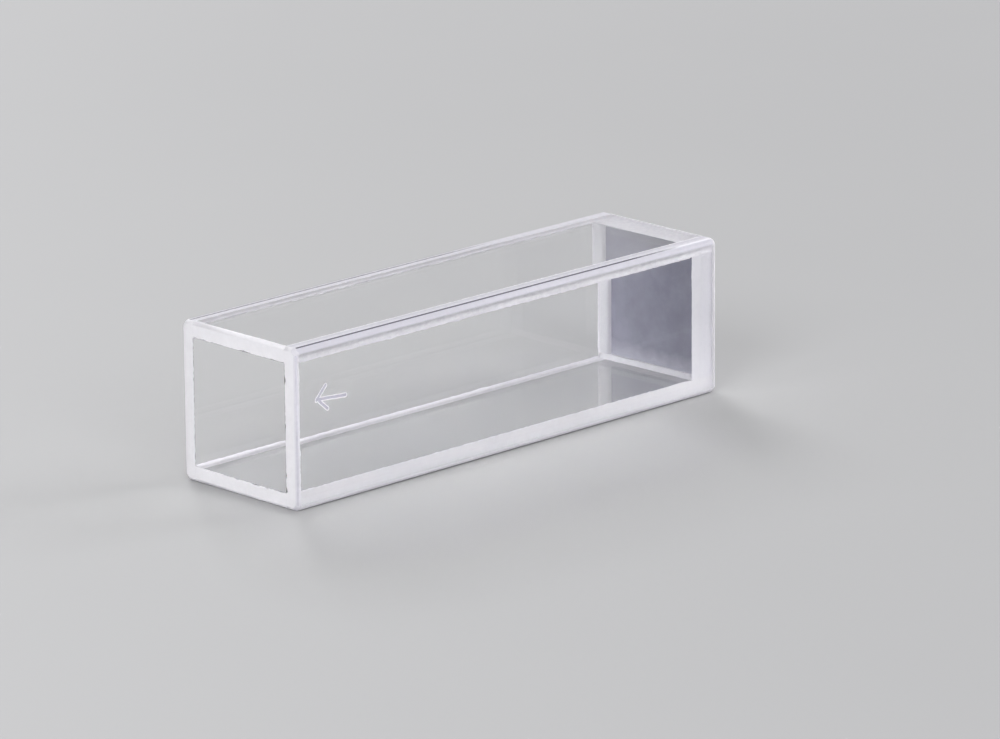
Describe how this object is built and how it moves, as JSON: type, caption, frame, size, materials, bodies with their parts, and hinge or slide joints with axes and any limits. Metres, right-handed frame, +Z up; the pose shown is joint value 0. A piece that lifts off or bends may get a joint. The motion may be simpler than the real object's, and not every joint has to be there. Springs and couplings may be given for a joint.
{
  "type": "cuvette",
  "caption": "Square sample cell of clear fused silica, open at one end, with ground white edges, for optical measurement of liquids.",
  "frame": {"origin": "centre of the outer face of the lower wall, which the cell rests on", "axes": "+X along the cell from the open mouth to the closed end, +Y from the front window to the back window, +Z up"},
  "size_m": [0.045, 0.0126, 0.0125],
  "materials": {
    "polished_silica": "optically polished, colourless",
    "ground_silica": "fine ground, white and frosted"
  },
  "bodies": {
    "root": {"front_window": "polished_silica", "back_window": "polished_silica", "upper_wall": "polished_silica", "lower_wall": "polished_silica", "base_block": "ground_silica"}
  },
  "joints": []
}
